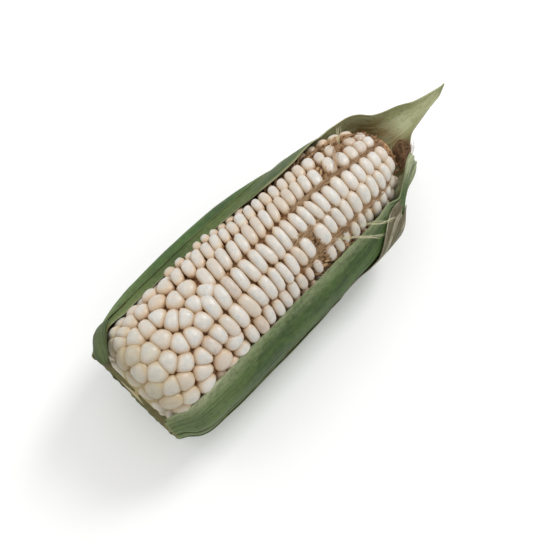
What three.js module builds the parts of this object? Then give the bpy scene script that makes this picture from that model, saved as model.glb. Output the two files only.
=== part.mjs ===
// A white maize ear lying in its trimmed husk, as picked and cut.
// Millimetres, +Z up. The ear lies along +X with its tip at +X, on the flattened
// underside of its outermost husk leaf. Angles run round the ear from straight up
// (0) over the -Y side (90), the underside (180) and the +Y side (270).
import * as THREE from "three";
import { mergeVertices } from "three/addons/utils/BufferGeometryUtils.js";

// ---- driving dimensions ----
const EAR_LENGTH = 168; // from the knife cut at the base to the tip of the cob
const EAR_RADIUS = 28.5; // over the crowns of the kernels at the thickest
const AXIS_HEIGHT = 35.5; // of the ear's axis above the table
const BUTT_START = 0.5; // where the blunt butt begins
const BUTT_LENGTH = 20; // length of its rounding
const BUTT_BLUNTNESS = 3.2; // exponent of that rounding
const TAPER_START = 95; // where the ear begins to taper to its tip
const TAPER_LENGTH = 76;
const KERNEL_DEPTH = 10.5; // a kernel's length, crown to cob
const SHANK_RADIUS = 10; // the stalk that bore the ear, cut flush

const ROWS = 16; // kernel rows round the ear
const ROWS_START = 58; // nearer the butt the kernels grow in no rows
const ROWS_END = 160;
const KERNEL_PITCH = 5.6; // along a row
const ROW_GAP = 0.4; // between two rows
const VALLEY_DROP = 1.3; // between two kernels of one row
const BUTT_KERNELS_ROUND = 21; // kernels in a ring of the butt
const BUTT_VALLEY = 1.7; // between two kernels of the butt
const EDGE_DROP = 2.2; // a kernel's crown down to its side
const CROWN_SHARE = 0.62; // share of a row's width that is crown
const ROW_TWIST = 8.5; // degrees that the rows turn over the tapering tip
const WIDER_ABOVE = 3; // degrees by which the top rows are wider than the mean
const ROWS_CLOSE_UP = 0.28; // share by which the +Y rows close up towards the tip
const COB_CLEARANCE = 0.8;

const LEAF_THICKNESS = 0.65;
const LEAF_PITCH = 1.15; // from one leaf's outer face to the next one's
const HUSK_CLEARANCE = 0.5; // between the innermost leaf and the kernels

const degrees = (a) => (a * Math.PI) / 180;
const clamp = (v, low, high) => Math.min(high, Math.max(low, v));
const mix = (a, b, t) => a + (b - a) * t;
const smooth = (t) => t * t * (3 - 2 * t);
const ramp = (v, from, to) => smooth(clamp((v - from) / (to - from), 0, 1));

// A smooth curve through a few [x, value] pairs that never swings past them, and is level
// before the first and after the last.
function along(pairs) {
  const rise = (i) => (pairs[i + 1][1] - pairs[i][1]) / (pairs[i + 1][0] - pairs[i][0]);
  const slope = (i) => {
    if (i === 0) return rise(0);
    if (i === pairs.length - 1) return rise(i - 1);
    const [before, after] = [rise(i - 1), rise(i)];
    return before * after > 0 ? (2 * before * after) / (before + after) : 0;
  };
  return (x) => {
    const last = pairs[pairs.length - 1];
    if (x <= pairs[0][0]) return pairs[0][1];
    if (x >= last[0]) return last[1];
    const i = pairs.findIndex(([at]) => at > x) - 1;
    const [[x0, v0], [x1, v1]] = [pairs[i], pairs[i + 1]];
    const [w, t] = [x1 - x0, (x - x0) / (x1 - x0)];
    const bend = (1 - t) * (slope(i) * w - v1 + v0) - t * (slope(i + 1) * w - v1 + v0);
    return mix(v0, v1, t) + t * (1 - t) * bend;
  };
}

// ---- the ear's own outline ----
// Radius over the crowns: a superellipse at the butt times a cubic ellipse at the tip.
function earRadius(x) {
  const butt = clamp((x - BUTT_START) / BUTT_LENGTH, 0, 1);
  const tip = clamp((x - TAPER_START) / TAPER_LENGTH, 0, 1);
  const round = (1 - (1 - butt) ** BUTT_BLUNTNESS) ** (1 / BUTT_BLUNTNESS);
  return EAR_RADIUS * round * Math.sqrt(1 - tip ** 3);
}

// The bare cob under the kernels, and the shank that runs out of its butt.
function cobRadius(x) {
  return Math.max(earRadius(x) - KERNEL_DEPTH, x < 30 ? SHANK_RADIUS : 3.5);
}

// A point at a radius and angle round the ear's axis.
function around(x, radius, angle) {
  const a = degrees(angle);
  return [x, -radius * Math.sin(a), AXIS_HEIGHT + radius * Math.cos(a)];
}

// ---- closed solids ----
// Shared corners are merged, and triangles that the merging leaves without area go.
function welded(geometry) {
  geometry.deleteAttribute("uv");
  geometry.deleteAttribute("normal");
  const closed = mergeVertices(geometry, 1e-4);
  const corners = closed.index.array;
  const kept = [];
  for (let i = 0; i < corners.length; i += 3) {
    const [a, b, c] = corners.slice(i, i + 3);
    if (a !== b && b !== c && c !== a) kept.push(a, b, c);
  }
  closed.setIndex(kept);
  closed.computeVertexNormals();
  return closed;
}

function solidFromFaces(points, quads) {
  const index = [];
  for (const [a, b, c, d] of quads) index.push(a, b, c, a, c, d);
  const geometry = new THREE.BufferGeometry();
  geometry.setAttribute("position", new THREE.Float32BufferAttribute(points.flat(), 3));
  geometry.setIndex(index);
  return welded(geometry);
}

// A tube of closed sections, all with the same even number of points. The points of a
// section run clockwise as seen from the far end, first along its outer side and then back
// along its inner side, and each end is closed by a ladder of faces between the two sides.
// Faces of both sides are split along the same diagonals, so that nested sheets fit.
function loft(sections) {
  const n = sections[0].length;
  const at = (s, i) => s * n + (i % n);
  const quads = [];
  for (let s = 0; s + 1 < sections.length; s++)
    for (let i = 0; i < n; i++) {
      const [a, b, c, d] = [at(s, i), at(s, i + 1), at(s + 1, i + 1), at(s + 1, i)];
      quads.push(i < n / 2 ? [a, b, c, d] : [b, c, d, a]);
    }
  const last = sections.length - 1;
  for (let i = 0; i + 1 < n / 2; i++) {
    quads.push([at(0, n - 1 - i), at(0, n - 2 - i), at(0, i + 1), at(0, i)]);
    quads.push([at(last, i), at(last, i + 1), at(last, n - 2 - i), at(last, n - 1 - i)]);
  }
  return solidFromFaces(sections.flat(), quads);
}

// A ring of closed loops: loops[j] goes once round the ear, and the loops close on the first.
function closedRing(loops) {
  const n = loops[0].length;
  const at = (j, i) => (j % loops.length) * n + (i % n);
  const quads = [];
  for (let j = 0; j < loops.length; j++)
    for (let i = 0; i < n; i++)
      quads.push([at(j, i), at(j, i + 1), at(j + 1, i + 1), at(j + 1, i)]);
  return solidFromFaces(loops.flat(), quads);
}

// ---- the cob, with the cut shank at its butt ----
function cobGeometry() {
  const profile = [new THREE.Vector2(0, 0), new THREE.Vector2(SHANK_RADIUS, 0)];
  const stations = [3, 8, 14, 26, 40, 95, 112, 128, 142, 152, 160, 164];
  for (const x of stations) profile.push(new THREE.Vector2(cobRadius(x), x));
  profile.push(new THREE.Vector2(0, EAR_LENGTH));
  const closed = welded(new THREE.LatheGeometry(profile, 20));
  closed.rotateZ(-Math.PI / 2);
  closed.translate(0, 0, AXIS_HEIGHT);
  return closed;
}

// ---- kernel rows ----
// Centre angle of a row, whose place is a half-integer counted from the top of the ear.
// Rows are wider on top than underneath, and towards the tip those of the +Y side close up
// to the top.
function rowAngle(place, x) {
  const turn = ROW_TWIST * ramp(x, 108, 158) - 2.5;
  const wobble = 0.8 * Math.sin(x / 17 + place * 2.1);
  const round = (2 * Math.PI) / ROWS;
  const widening = (Math.sin((place + 1) * round) - Math.sin(round)) / round;
  const angle = (place * 360) / ROWS + WIDER_ABOVE * widening;
  const closing = ROWS_CLOSE_UP * ramp(x, 82, 116) * ramp(angle, -140, -50) * Math.min(angle, 0);
  return turn + wobble + angle - closing;
}

// Angle of the groove on the greater side of a row.
function grooveAngle(place, x) {
  const atEnd = ROWS / 2 - 0.5;
  if (place >= atEnd) return (rowAngle(atEnd, x) + rowAngle(-atEnd, x) + 360) / 2;
  return (rowAngle(place, x) + rowAngle(place + 1, x)) / 2;
}

function rowGeometry(place) {
  const last = ROWS / 2 - 0.5;
  const kernels = Math.round((ROWS_END - ROWS_START) / KERNEL_PITCH);
  const step = (ROWS_END - ROWS_START) / (2 * kernels);
  const sections = [];
  for (let i = 0; i <= 2 * kernels; i++) {
    const x = ROWS_START + i * step;
    const crown = earRadius(x) - (i % 2 ? 0 : VALLEY_DROP);
    const side = crown - EDGE_DROP;
    const foot = cobRadius(x) + COB_CLEARANCE;
    const before = place <= -last ? grooveAngle(last, x) - 360 : grooveAngle(place - 1, x);
    const after = grooveAngle(place, x);
    const middle = (before + after) / 2;
    const crownHalf = ((after - before) / 2) * CROWN_SHARE;
    const gap = (radius) => (ROW_GAP / 2 / radius) * (180 / Math.PI);
    sections.push([
      around(x, foot, before + gap(foot)),
      around(x, side, before + gap(side)),
      around(x, crown, middle - crownHalf),
      around(x, crown, middle + crownHalf),
      around(x, side, after - gap(side)),
      around(x, foot, after - gap(foot)),
    ]);
  }
  return loft(sections);
}

// ---- the jumbled kernels round the butt ----
// Rings of kernels with valleys between the rings, each ring set half a kernel round from
// the one before.
function buttGeometry() {
  const end = ROWS_START - ROW_GAP;
  const outer = [
    1.4, 3.4, 6.4, 10, 13.8, 17.4, 21, 24.8, 28.6, 32.4, 36.2, 40, 43.8, 47.6, 51.4, 54.6, end,
  ];
  const inner = [end, 40, 26, 14, 7, 2];
  const loop = (x, radiusAt) =>
    Array.from({ length: 2 * BUTT_KERNELS_ROUND }, (_, i) =>
      around(x, radiusAt(i), (180 * i) / BUTT_KERNELS_ROUND),
    );
  const isValley = (i, ring) => ring % 2 === 0 || (i + (ring - 1) / 2) % 2 === 0;
  const loops = outer.map((x, ring) =>
    loop(x, (i) => Math.max(SHANK_RADIUS + 1, earRadius(x) - (isValley(i, ring) ? BUTT_VALLEY : 0))),
  );
  for (const x of inner) loops.push(loop(x, () => cobRadius(x) + COB_CLEARANCE));
  return closedRing(loops);
}

// ---- husk leaves ----
// Half-widths of the whole husk on the +Y side and the -Y side. Past the ear's tip only
// the long hood leaf is left, and narrows to a point.
const huskLeft = along([
  [0, 25.5], [5, 30], [10, 32.4], [22, 35.5], [32, 36.6], [60, 37.6], [84, 36.8],
  [108, 33.6], [130, 29], [150, 27.4], [165, 26.2], [172, 23], [178, 18], [193, 13],
  [201, 9], [216, 4.6],
]);
const huskRight = along([
  [0, 26.5], [5, 29], [10, 31.5], [22, 34.2], [36, 34.8], [95, 34.8], [120, 33.4],
  [140, 30], [158, 26.4], [165, 25], [172, 21], [178, 12.5], [185, 7], [193, 5.4],
  [201, 4.4], [216, 3],
]);

// Leaves lie over one another on shared stations and angles, so that they nest.
const LEAF_STATIONS = [
  0, 5, 10, 15, 22, 32, 46, 62, 78, 94, 108, 120, 130, 140, 150, 158, 165, 172, 178,
  185, 193, 201, 209, 216,
];
const LEAF_ANGLE_STEP = 12;

// The innermost leaf under a given angle: two leaves lie outside it on the +Y side, three
// at the -Y margin of the opening and four elsewhere.
const layersUnder = (angle) => mix(4, 2, ramp(angle, 205, 228)) - ramp(angle, 96, 82);

// Along the opening the upper margins of the leaves are drawn in to the kernels.
function drawnIn(x, angle) {
  const atMargin = Math.max(ramp(angle, 284, 300), ramp(angle, 88, 66));
  return atMargin * ramp(x, 5, 22) * ramp(x, 156, 134);
}

// Radius of the outside of the whole husk: its loose outline, or the ear and leaves within.
function huskRadius(x, angle) {
  const side = (1 + Math.sin(degrees(angle))) / 2;
  const held = layersUnder(angle) * LEAF_PITCH + LEAF_THICKNESS + HUSK_CLEARANCE;
  const snug = x < ROWS_END ? earRadius(x) + held : 0;
  const loose = mix(huskLeft(x), huskRight(x), side);
  return Math.max(mix(loose, snug, drawnIn(x, angle)), snug);
}

// A point on a leaf, on the straight line between the two shared angles on either side of
// it. It lies flat where it would reach below its layer's level.
function onLeaf(x, angle, layer, inset, flare) {
  const level = layer * LEAF_PITCH + inset;
  const before = Math.floor(angle / LEAF_ANGLE_STEP);
  const [a, b] = [before, before + 1].map((step) => {
    const at = step * LEAF_ANGLE_STEP;
    const radius = Math.max(huskRadius(x, at) - level + flare(x, at), 1.2 - inset);
    const [px, py, pz] = around(x, radius, at);
    return [px, py, Math.max(pz, level)];
  });
  const t = angle / LEAF_ANGLE_STEP - before;
  return a.map((v, i) => mix(v, b[i], t));
}

// A leaf is a sheet bent round the ear, from its margin on the -Y side (right) to its
// margin on the +Y side (left).
function leafGeometry({ layer, end, right, left, flare = () => 0 }) {
  const stations = LEAF_STATIONS.filter((x) => x <= end);
  const first = Math.floor(Math.min(...stations.map(right)) / LEAF_ANGLE_STEP);
  const last = Math.ceil(Math.max(...stations.map(left)) / LEAF_ANGLE_STEP);
  const steps = Array.from({ length: last - first + 1 }, (_, i) => (first + i) * LEAF_ANGLE_STEP);
  const inLeaf = (step, x) => {
    if (step < right(x) + LEAF_ANGLE_STEP / 3) return right(x);
    return step > left(x) - LEAF_ANGLE_STEP / 3 ? left(x) : step;
  };
  const face = (inset) =>
    stations.map((x) => steps.map((step) => onLeaf(x, inLeaf(step, x), layer, inset, flare)));
  const outer = face(0);
  const inner = face(LEAF_THICKNESS);
  return loft(outer.map((row, s) => [...row, ...inner[s].reverse()]));
}

// The cut end of the outermost leaf rolls outwards on the +Y side of the base.
const rolledEnd = (x, angle) => 2.4 * ramp(x, 15, 0) * ramp(angle, 240, 275);

// On the -Y side the leaves stand away from the ear, the more toward their tips. The inner
// ones curve back in to the kernels along their upper margins and at their tips.
const outward = along([[0, 2.6], [22, 3.6], [100, 3.9], [125, 5.6], [146, 8.4]]);
const standOff = (x, angle) => outward(x) * ramp(angle, 190, 150);
const curveBack = (x, angle) => standOff(x, angle) * ramp(angle, 64, 104) * ramp(x, 162, 140);

const LEAVES = {
  husk_leaf_outer_under: {
    layer: 0,
    end: 150,
    right: along([[0, 120], [80, 119], [150, 152]]),
    left: along([[0, 240], [80, 241], [150, 206]]),
    flare: standOff,
  },
  husk_leaf_outer_right: {
    layer: 1,
    end: 140,
    right: along([[0, 96], [60, 92], [105, 96], [140, 128]]),
    left: along([[0, 199], [60, 198], [140, 164]]),
    flare: curveBack,
  },
  husk_leaf_outer_left: {
    layer: 1,
    end: 158,
    right: along([[0, 206], [100, 206], [158, 224]]),
    left: along([[0, 293], [92, 293], [130, 279], [158, 236]]),
    flare: rolledEnd,
  },
  husk_leaf_hood: {
    layer: 2,
    end: 216,
    right: along([[0, 144], [150, 142], [170, 132], [182, 108], [216, 95]]),
    left: along([
      [0, 304], [20, 301], [45, 299], [66, 300], [84, 306], [97, 314], [110, 318], [122, 321],
      [130, 316], [140, 303], [150, 292], [158, 284], [165, 280], [172, 279], [182, 271],
      [193, 264], [201, 257], [216, 265],
    ]),
    flare: curveBack,
  },
  husk_leaf_withered: {
    layer: 2,
    end: 150,
    right: along([[0, 104], [94, 104], [120, 82], [140, 74], [150, 76]]),
    left: along([[0, 139], [120, 138], [150, 122]]),
    flare: curveBack,
  },
  husk_leaf_inner_right: {
    layer: 3,
    end: 168,
    right: along([
      [0, 66], [9, 67], [20, 60], [60, 60], [115, 60], [130, 61], [140, 65], [149, 77],
      [156, 72], [162, 58], [168, 60],
    ]),
    left: along([[0, 191], [70, 186], [168, 108]]),
    flare: curveBack,
  },
  husk_leaf_inner_under: {
    layer: 4,
    end: 172,
    right: along([[0, 100], [120, 98], [158, 90], [172, 96]]),
    left: along([[0, 200], [120, 196], [172, 136]]),
    flare: curveBack,
  },
};

// ---- silk ----
// Threads bundled in a groove between two rows, from the tip back along the ear.
function silkStrandGeometry(place, from, to) {
  const radius = 0.7;
  const points = [];
  for (let i = 0; i < 12; i++) {
    const x = mix(from, to, i / 11);
    points.push(new THREE.Vector3(...around(x, earRadius(x) - 0.7, grooveAngle(place, x))));
  }
  const section = new THREE.Shape();
  section.absarc(0, 0, radius, 0, 2 * Math.PI);
  return new THREE.ExtrudeGeometry(section, {
    steps: 14,
    curveSegments: 3,
    bevelEnabled: false,
    extrudePath: new THREE.CatmullRomCurve3(points),
  });
}

// The clump of dry silk left at the tip of the ear, beside the long leaf.
function silkTuftGeometry() {
  const clump = new THREE.SphereGeometry(1, 14, 9);
  clump.scale(7.5, 4.2, 4.6);
  clump.rotateZ(degrees(-14));
  clump.translate(172.5, -5.6, AXIS_HEIGHT + 1.6);
  return clump;
}

// ---- materials ----
const finish = (color, roughness) =>
  new THREE.MeshStandardMaterial({ color, roughness, metalness: 0 });
const kernelSkin = finish(0xe2d8cb, 0.38);
const cobChaff = finish(0xa07a55, 0.9);
const greenHusk = finish(0x5f7f4a, 0.55);
const paleHusk = finish(0x8f9a66, 0.6);
const witheredHusk = finish(0x8b7f5e, 0.8);
const brownSilk = finish(0x7a5230, 0.7);

const LEAF_FINISH = {
  husk_leaf_hood: paleHusk,
  husk_leaf_inner_under: paleHusk,
  husk_leaf_withered: witheredHusk,
};

// ---- the assembly ----
const ear = new THREE.Group();

function add(name, geometry, material) {
  const mesh = new THREE.Mesh(geometry, material);
  mesh.name = name;
  ear.add(mesh);
}

add("cob", cobGeometry(), cobChaff);
add("butt_kernels", buttGeometry(), kernelSkin);
for (let i = 0; i < ROWS; i++) {
  const place = i - ROWS / 2 + 0.5;
  add(`kernel_row_${String(i + 1).padStart(2, "0")}`, rowGeometry(place), kernelSkin);
}
for (const [name, leaf] of Object.entries(LEAVES))
  add(name, leafGeometry(leaf), LEAF_FINISH[name] ?? greenHusk);
add("silk_tuft", welded(silkTuftGeometry()), brownSilk);
add("silk_strands_upper", welded(silkStrandGeometry(-0.5, 108, 159)), brownSilk);
add("silk_strands_lower", welded(silkStrandGeometry(1.5, 84, 159)), brownSilk);

// The origin is the middle of the footprint, on the table.
const box = new THREE.Box3().setFromObject(ear);
const middle = box.getCenter(new THREE.Vector3());
for (const mesh of ear.children)
  mesh.geometry.translate(-middle.x, -middle.y, -box.min.z);

export default ear;
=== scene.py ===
import bpy
import numpy as np
from mathutils import Matrix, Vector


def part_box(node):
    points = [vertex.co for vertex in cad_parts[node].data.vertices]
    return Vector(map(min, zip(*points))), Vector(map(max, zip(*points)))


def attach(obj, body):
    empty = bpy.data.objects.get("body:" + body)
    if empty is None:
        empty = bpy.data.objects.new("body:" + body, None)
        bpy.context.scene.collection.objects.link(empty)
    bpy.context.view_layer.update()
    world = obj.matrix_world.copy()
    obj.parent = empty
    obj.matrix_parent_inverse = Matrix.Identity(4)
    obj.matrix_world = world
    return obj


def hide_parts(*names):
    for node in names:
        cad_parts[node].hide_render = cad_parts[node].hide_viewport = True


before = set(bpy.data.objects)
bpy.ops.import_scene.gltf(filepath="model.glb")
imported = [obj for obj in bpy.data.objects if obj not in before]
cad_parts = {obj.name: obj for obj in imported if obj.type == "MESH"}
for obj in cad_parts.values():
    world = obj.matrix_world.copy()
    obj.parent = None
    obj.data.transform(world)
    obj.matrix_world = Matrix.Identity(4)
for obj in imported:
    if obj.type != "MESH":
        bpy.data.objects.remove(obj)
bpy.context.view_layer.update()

MM = 0.001
FULL_TURN = 2 * np.pi
cob_low, cob_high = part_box("cob")
CUT_X = cob_low[0]
AXIS_Y = (cob_low[1] + cob_high[1]) / 2
AXIS_HEIGHT = (cob_low[2] + cob_high[2]) / 2 / MM

# ---- sizes the ear and its husk share with the frame ----
EAR_LENGTH = (cob_high[0] - cob_low[0]) / MM
EAR_RADIUS = 28.5
BUTT_START, BUTT_LENGTH, BUTT_BLUNTNESS = 0.5, 20.0, 3.2
BUTT_STEPS = 240
TAPER_START, TAPER_LENGTH = 95.0, 76.0
SHANK_RADIUS = 10.0
COB_DEPTH = 4.7
ROWS = 16
ROW_TWIST = 8.5
WIDER_ABOVE = 3.0
ROWS_CLOSE_UP = 0.23
LEAF_PITCH = 1.15
LEAF_ROOM = 0.65
HUSK_CLEARANCE = 0.5


def ramp(value, start, stop):
    """0 before start, 1 after stop, and a smooth S between them."""
    share = np.clip((value - start) / (stop - start), 0, 1)
    return share * share * (3 - 2 * share)


def mix(a, b, share):
    """a where share is 0, b where it is 1."""
    return a + (b - a) * share


def along(*pairs):
    """A smooth curve through (x, value) pairs that never swings past them: a cubic between
    each two, whose slope at a pair is the harmonic mean of the slopes on its two sides."""
    at, value = np.array(pairs, float).T
    rise = np.diff(value) / np.diff(at)
    product = rise[1:] * rise[:-1]
    total = rise[1:] + rise[:-1]
    inner = np.where(product > 0, 2 * product / np.where(product > 0, total, 1), 0)
    slope = np.concatenate([rise[:1], inner, rise[-1:]])

    def curve(x):
        x = np.clip(x, at[0], at[-1])
        i = np.clip(np.searchsorted(at, x, side="right") - 1, 0, len(at) - 2)
        width = at[i + 1] - at[i]
        t = (x - at[i]) / width
        step = value[i + 1] - value[i]
        bend = (1 - t) * (slope[i] * width - step) - t * (slope[i + 1] * width - step)
        return mix(value[i], value[i + 1], t) + t * (1 - t) * bend

    return curve


def rough(u, v, seed, size=64):
    """Smooth noise from -1 to 1: random values on whole numbers of u and v, joined by S
    curves between them."""
    lattice = np.random.default_rng(seed).uniform(-1, 1, (size, size))
    u, v = np.broadcast_arrays(np.asarray(u, float), np.asarray(v, float))
    i, j = np.floor(u).astype(int), np.floor(v).astype(int)
    s, t = ramp(u - i, 0, 1), ramp(v - j, 0, 1)
    i, j = i % size, j % size
    k, m = (i + 1) % size, (j + 1) % size
    return mix(mix(lattice[i, j], lattice[k, j], s), mix(lattice[i, m], lattice[k, m], s), t)


def follow(course, t):
    """Smooth curves through the columns of a course, evenly spaced from t = 0 to 1."""
    at = np.linspace(0, 1, len(course))
    return (along(*zip(at, column))(t) for column in zip(*course))


def around(x, radius, angle):
    """Points at a radius and angle round the ear's axis."""
    turn = np.radians(angle)
    parts = np.broadcast_arrays(x, -radius * np.sin(turn), AXIS_HEIGHT + radius * np.cos(turn))
    return np.stack(parts, axis=-1)


def ear_radius(x):
    """Radius over the crowns: a superellipse at the butt times a cubic ellipse at the tip."""
    butt = np.clip((x - BUTT_START) / BUTT_LENGTH, 0, 1)
    tip = np.clip((x - TAPER_START) / TAPER_LENGTH, 0, 1)
    blunt = (1 - (1 - butt) ** BUTT_BLUNTNESS) ** (1 / BUTT_BLUNTNESS)
    return EAR_RADIUS * blunt * np.sqrt(1 - tip**3)


def ear_line():
    """The outline from the middle of the butt to the tip, as x, radius, its direction and
    the length so far. The butt's part steps evenly in its superellipse's own angle."""
    turn = np.linspace(0, np.pi / 2, BUTT_STEPS)
    power = 2 / BUTT_BLUNTNESS
    butt_x = BUTT_START + BUTT_LENGTH * (1 - np.cos(turn) ** power)
    butt_r = EAR_RADIUS * np.sin(turn) ** power
    rest_x = np.linspace(BUTT_START + BUTT_LENGTH, TAPER_START + TAPER_LENGTH, 600)[1:]
    x = np.concatenate([butt_x, rest_x])
    radius = np.concatenate([butt_r, ear_radius(rest_x)])
    length = np.concatenate([[0], np.cumsum(np.hypot(np.diff(x), np.diff(radius)))])
    return x, radius, np.gradient(x, length), np.gradient(radius, length), length


LINE_X, LINE_R, LINE_DX, LINE_DR, LINE_LENGTH = ear_line()


def line_length(x):
    return np.interp(x, LINE_X, LINE_LENGTH)


def on_ear(length, angle):
    """Places on the surface over the crowns, with the directions there: towards the tip,
    round the ear the way the angle grows, and straight out."""
    line = LINE_X, LINE_R, LINE_DX, LINE_DR
    x, radius, dx, dr = (np.interp(length, LINE_LENGTH, part) for part in line)
    size = np.hypot(dx, dr)
    dx, dr = dx / size, dr / size
    turn = np.radians(angle)
    sin, cos = np.sin(turn), np.cos(turn)
    onward = np.stack([dx, -dr * sin, dr * cos], axis=-1)
    sideways = np.stack([0 * x, -cos, -sin], axis=-1)
    outward = np.stack([-dr, -dx * sin, dx * cos], axis=-1)
    return around(x, radius, angle), onward, sideways, outward


# ---- meshes ----
def to_scene(points):
    """Metres, in the frame's place."""
    return np.asarray(points) * MM + np.array([CUT_X, AXIS_Y, 0])


def moved(origin, *steps):
    """Points at each part's origin moved by amounts along that part's directions. An amount
    is an array of parts x rows x columns."""
    points = origin[:, None, None]
    for amount, direction in steps:
        points = points + amount[..., None] * direction[:, None, None]
    return points


def in_scene(name, data):
    """A new object in the scene, at the origin."""
    obj = bpy.data.objects.new(name, data)
    bpy.context.scene.collection.objects.link(obj)
    return obj


def new_mesh(name, points, faces, material, marks, uv=None):
    """A smooth mesh of points in metres. faces is a list of whole arrays of corners, marks
    holds one number per point by name, and uv two."""
    mesh = bpy.data.meshes.new(name)
    corners = np.concatenate([face.ravel() for face in faces]).astype(np.int32)
    sizes = np.concatenate([np.full(len(face), face.shape[1]) for face in faces])
    starts = np.concatenate([[0], np.cumsum(sizes)[:-1]]).astype(np.int32)
    mesh.vertices.add(len(points))
    mesh.vertices.foreach_set("co", points.astype(np.float32).ravel())
    mesh.loops.add(len(corners))
    mesh.loops.foreach_set("vertex_index", corners)
    mesh.polygons.add(len(starts))
    mesh.polygons.foreach_set("loop_start", starts)
    if uv is not None:
        layer = mesh.uv_layers.new(name="UVMap")
        layer.data.foreach_set("uv", uv[corners].astype(np.float32).ravel())
    for mark, values in marks.items():
        layer = mesh.attributes.new(mark, "FLOAT", "POINT")
        layer.data.foreach_set("value", np.ascontiguousarray(values, np.float32).ravel())
    mesh.update(calc_edges=True)
    mesh.validate()
    mesh.shade_smooth()
    mesh.materials.append(material)
    return mesh


def piece(name, points, faces, material, nodes, marks, uv=None, sharp=None):
    """A mesh in place, on the body and the CAD nodes it stands for."""
    mesh = new_mesh(name, to_scene(points), faces, material, marks, uv)
    if sharp:
        mesh.set_sharp_from_angle(angle=np.radians(sharp))
    obj = in_scene(name, mesh)
    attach(obj, "root")
    if nodes:
        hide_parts(*nodes)


def grid_faces(rows, columns, start=0, closed=False):
    """Four-cornered faces between rows x columns points. They face out where the rows run
    towards the tip and the columns the way the angle grows."""
    across = columns if closed else columns - 1
    i, j = np.meshgrid(np.arange(rows - 1), np.arange(across), indexing="ij")
    near, far = i * columns, (i + 1) * columns
    k = (j + 1) % columns
    quads = np.stack([near + j, near + k, far + k, far + j], -1)
    return quads.reshape(-1, 4) + start


def sheet_faces(rows, columns):
    """The faces of a closed sheet: the points of its outer face, then those of its inner."""
    count = rows * columns
    outer = grid_faces(rows, columns)
    i, j = np.arange(rows - 1), np.arange(columns - 1)
    low_side = np.stack([i * columns, (i + 1) * columns], -1)
    near_side = np.stack([j, j + 1], -1)
    sides = (low_side, low_side + columns - 1, near_side, near_side + (rows - 1) * columns)
    rims = []
    for side, turned in zip(sides, (False, True, True, False)):
        rim = np.concatenate([side, side[:, ::-1] + count], axis=1)
        rims.append(rim[:, ::-1] if turned else rim)
    return np.concatenate([outer, outer[:, ::-1] + count, *rims])


# ---- shaders ----
class Value:
    """A socket of a shader, with arithmetic: each operation adds a Math node."""

    def __init__(self, shader, socket):
        self.shader = shader
        self.socket = socket

    def math(self, operation, a, b):
        return self.shader.node("ShaderNodeMath", {"operation": operation}, {0: a, 1: b})

    def __add__(self, other):
        return self.math("ADD", self, other)

    def __sub__(self, other):
        return self.math("SUBTRACT", self, other)

    def __rsub__(self, other):
        return self.math("SUBTRACT", other, self)

    def __mul__(self, other):
        return self.math("MULTIPLY", self, other)

    __radd__ = __add__
    __rmul__ = __mul__


class Shader:
    """The nodes of a new material, or of a new world where kind is bpy.data.worlds."""

    def __init__(self, name, kind=bpy.data.materials):
        self.owner = kind.new(name)
        self.owner.use_nodes = True
        self.tree = self.owner.node_tree
        self.tree.nodes.clear()

    def node(self, kind, settings=None, inputs=None, output=0):
        """A node of a type, with its settings, then the values or links of its sockets."""
        made = self.tree.nodes.new(kind)
        for key, value in (settings or {}).items():
            setattr(made, key, value)
        for key, value in (inputs or {}).items():
            if isinstance(value, Value):
                self.tree.links.new(value.socket, made.inputs[key])
            else:
                made.inputs[key].default_value = value
        return Value(self, made.outputs[output]) if len(made.outputs) else None

    def mark(self, name):
        return self.node("ShaderNodeAttribute", {"attribute_name": name}, output="Fac")

    def ray(self, name):
        return self.node("ShaderNodeLightPath", output=f"Is {name} Ray")

    def scaled(self, coordinates, scale):
        where = self.node("ShaderNodeTexCoord", output=coordinates)
        return self.node("ShaderNodeVectorMath", {"operation": "MULTIPLY"}, {0: where, 1: scale})

    def places(self, scale=(1, 1, 1)):
        """Object coordinates in millimetres, times a scale."""
        return self.scaled("Object", tuple(part / MM for part in scale))

    def noise(self, where, scale, detail, roughness=0.55):
        inputs = {"Vector": where, "Scale": scale, "Detail": detail, "Roughness": roughness}
        return self.node("ShaderNodeTexNoise", None, inputs)

    def leaf_noise(self, across, onward, detail, roughness=0.55):
        """Noise in a leaf's own millimetres, scaled across it and along it."""
        return self.noise(self.scaled("UV", (across, onward, 1)), 1.0, detail, roughness)

    def rise(self, value, start, stop):
        """0 before start, 1 after stop, smooth between them."""
        inputs = {"Value": value, "From Min": start, "From Max": stop}
        return self.node("ShaderNodeMapRange", {"interpolation_type": "SMOOTHSTEP"}, inputs)

    def blend(self, a, b, share):
        """Colour a where share is 0, b where it is 1."""
        settings = {"data_type": "RGBA", "clamp_factor": True}
        return self.node("ShaderNodeMix", settings, {0: share, 6: a, 7: b}, output=2)

    def coats(self, colour, *over):
        """A colour under coats of (colour, share), each laid over all before it."""
        for coat, share in over:
            colour = self.blend(colour, coat, share)
        return colour

    def bump(self, height, distance, strength):
        inputs = {"Height": height, "Distance": distance * MM, "Strength": strength}
        return self.node("ShaderNodeBump", None, inputs)

    def finish(self, **inputs):
        """The Principled BSDF and the output; names are its sockets' with _ for a space."""
        named = {key.replace("_", " "): value for key, value in inputs.items()}
        surface = self.node("ShaderNodeBsdfPrincipled", None, named)
        self.node("ShaderNodeOutputMaterial", None, {"Surface": surface})
        return self.owner


def tone(red, green, blue):
    """A colour as it looks, 0 to 255, in the light's own linear numbers."""
    share = np.array([red, green, blue]) / 255
    linear = np.where(share <= 0.04045, share / 12.92, ((share + 0.055) / 1.055) ** 2.4)
    return (*linear.tolist(), 1.0)


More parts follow.
